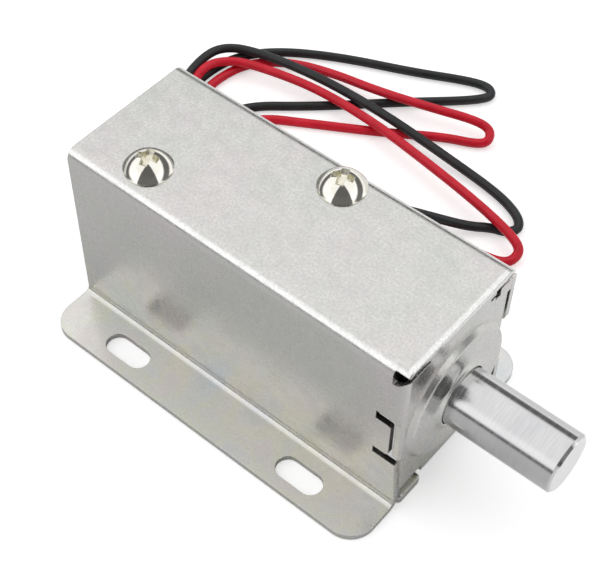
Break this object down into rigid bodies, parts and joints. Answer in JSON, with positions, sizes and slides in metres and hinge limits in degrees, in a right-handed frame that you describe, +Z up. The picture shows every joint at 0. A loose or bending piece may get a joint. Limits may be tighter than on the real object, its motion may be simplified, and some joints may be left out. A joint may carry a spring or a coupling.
{
  "type": "solenoid cabinet lock",
  "caption": "Electric cabinet lock: a round steel bolt driven by a box-frame solenoid inside a pressed sheet-steel housing with slotted mounting feet and flying leads.",
  "frame": {"origin": "centre of the four mounting slots, on the mounting plane under the feet", "axes": "+X along the bolt, the way it points; +Y across the housing, to the side where the leads lie; +Z up from the mounting plane"},
  "size_m": [0.1127, 0.0988, 0.0376],
  "materials": {
    "plated_sheet": "satin zinc plating, lightly speckled",
    "nickel_screw": "bright nickel plating",
    "frame_steel": "zinc plated strip",
    "core_steel": "turned, plated",
    "disc_brass": "punched shim",
    "sleeve_brass": "drawn tube",
    "bobbin_nylon": "natural nylon",
    "copper_wire": "enamelled copper wire",
    "coil_tape": "polyester tape",
    "fibre_board": "fibre insulating board",
    "bolt_steel": "turned, nickel plated",
    "spring_steel": "drawn spring wire",
    "washer_steel": "zinc plated",
    "buffer_rubber": "black rubber",
    "solder": "tinned copper strands",
    "sleeving": "shrunk sleeving",
    "red_pvc": "red PVC insulation",
    "black_pvc": "black PVC insulation"
  },
  "bodies": {
    "lock_body": {"housing": "plated_sheet", "cover_screws": "nickel_screw", "yoke_frame": "frame_steel", "yoke_plate": "frame_steel", "fixed_core": "core_steel", "anti_residual_disc": "disc_brass", "guide_sleeve": "sleeve_brass", "bobbin": "bobbin_nylon", "coil_winding": "copper_wire", "winding_tape": "coil_tape", "rear_insulator": "fibre_board", "front_insulator": "fibre_board", "return_spring": "spring_steel", "solder_joints": "solder", "joint_sleeves": "sleeving", "red_wire": "red_pvc", "black_wire": "black_pvc", "red_wire_tip": "solder", "black_wire_tip": "solder"},
    "spring_seat": {"spring_washer": "washer_steel", "buffer_washer": "buffer_rubber"},
    "bolt": {"bolt": "bolt_steel", "retaining_clip": "spring_steel"}
  },
  "joints": [
    {"name": "bolt_slide", "type": "slide", "parent": "lock_body", "child": "spring_seat", "axis": [1, 0, 0], "range_m": [-0.01, 0], "stiffness_N_per_m": 250, "springref_m": 0.004, "deforming": ["return_spring"]},
    {"name": "bolt_spin", "type": "hinge", "parent": "spring_seat", "child": "bolt", "pos_m": [0, 0, 0.0179], "axis": [1, 0, 0], "continuous": true}
  ]
}
